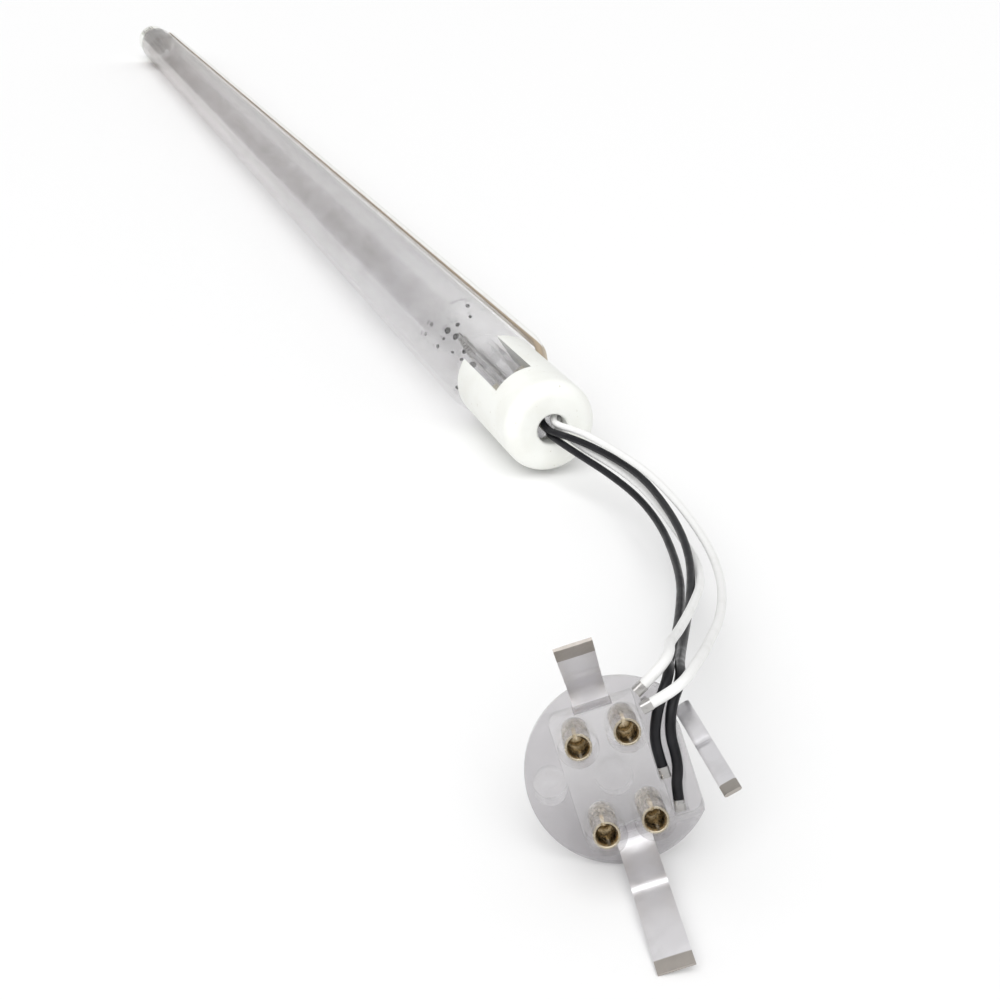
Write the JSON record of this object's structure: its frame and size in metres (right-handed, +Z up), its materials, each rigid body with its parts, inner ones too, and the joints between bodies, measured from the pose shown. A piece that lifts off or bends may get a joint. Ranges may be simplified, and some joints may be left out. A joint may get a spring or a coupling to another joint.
{
  "type": "ultraviolet tube lamp",
  "caption": "Straight quartz ultraviolet tube lamp with ceramic ends, return leads along the glass, and a clear socket cap with sprung legs on short loose leads.",
  "frame": {"origin": "on the floor under the middle of the tube's length", "axes": "+Y along the tube, from the ceramic base with the leads to the far tip; +Z up"},
  "size_m": [0.0492, 0.7728, 0.031],
  "materials": {
    "quartz": "clear polished",
    "ceramic": "satin, slightly porous",
    "cement": "matte",
    "tungsten": "matte coated coil",
    "molybdenum": "satin",
    "nickel": "satin",
    "return_lead": "satin sleeve",
    "mercury": "mirror bright",
    "clear_cap": "clear, slightly smoky",
    "contact_metal": "plated, pale",
    "terminal_metal": "satin",
    "spring_steel": "rolled strip, satin",
    "black_lead": "satin insulation",
    "white_lead": "satin insulation"
  },
  "bodies": {
    "root": {"quartz_tube": "quartz", "ceramic_base": "ceramic", "ceramic_tip": "ceramic", "base_cement": "cement", "tip_cement": "cement", "base_electrode_coil": "tungsten", "tip_electrode_coil": "tungsten", "base_foil_left": "molybdenum", "base_foil_right": "molybdenum", "base_post_left": "molybdenum", "base_post_right": "molybdenum", "base_pin_left": "molybdenum", "base_pin_right": "molybdenum", "tip_foil_left": "molybdenum", "tip_foil_right": "molybdenum", "tip_post_left": "molybdenum", "tip_post_right": "molybdenum", "tip_pin_left": "molybdenum", "tip_pin_right": "molybdenum", "tip_link_left": "nickel", "tip_link_right": "nickel", "pin_sleeve_left": "nickel", "pin_sleeve_right": "nickel", "return_sleeve_left": "nickel", "return_sleeve_right": "nickel", "return_lead_left": "return_lead", "return_lead_right": "return_lead", "mercury_beads": "mercury", "cap_body": "clear_cap", "socket_contact_1": "contact_metal", "socket_contact_2": "contact_metal", "socket_contact_3": "contact_metal", "socket_contact_4": "contact_metal", "black_left_terminal": "terminal_metal", "black_right_terminal": "terminal_metal", "white_outer_terminal": "terminal_metal", "white_inner_terminal": "terminal_metal", "spring_leg_top": "spring_steel", "spring_leg_bottom": "spring_steel", "spring_leg_side": "spring_steel", "black_lead_left": "black_lead", "black_lead_right": "black_lead", "white_lead_outer": "white_lead", "white_lead_inner": "white_lead"}
  },
  "joints": []
}
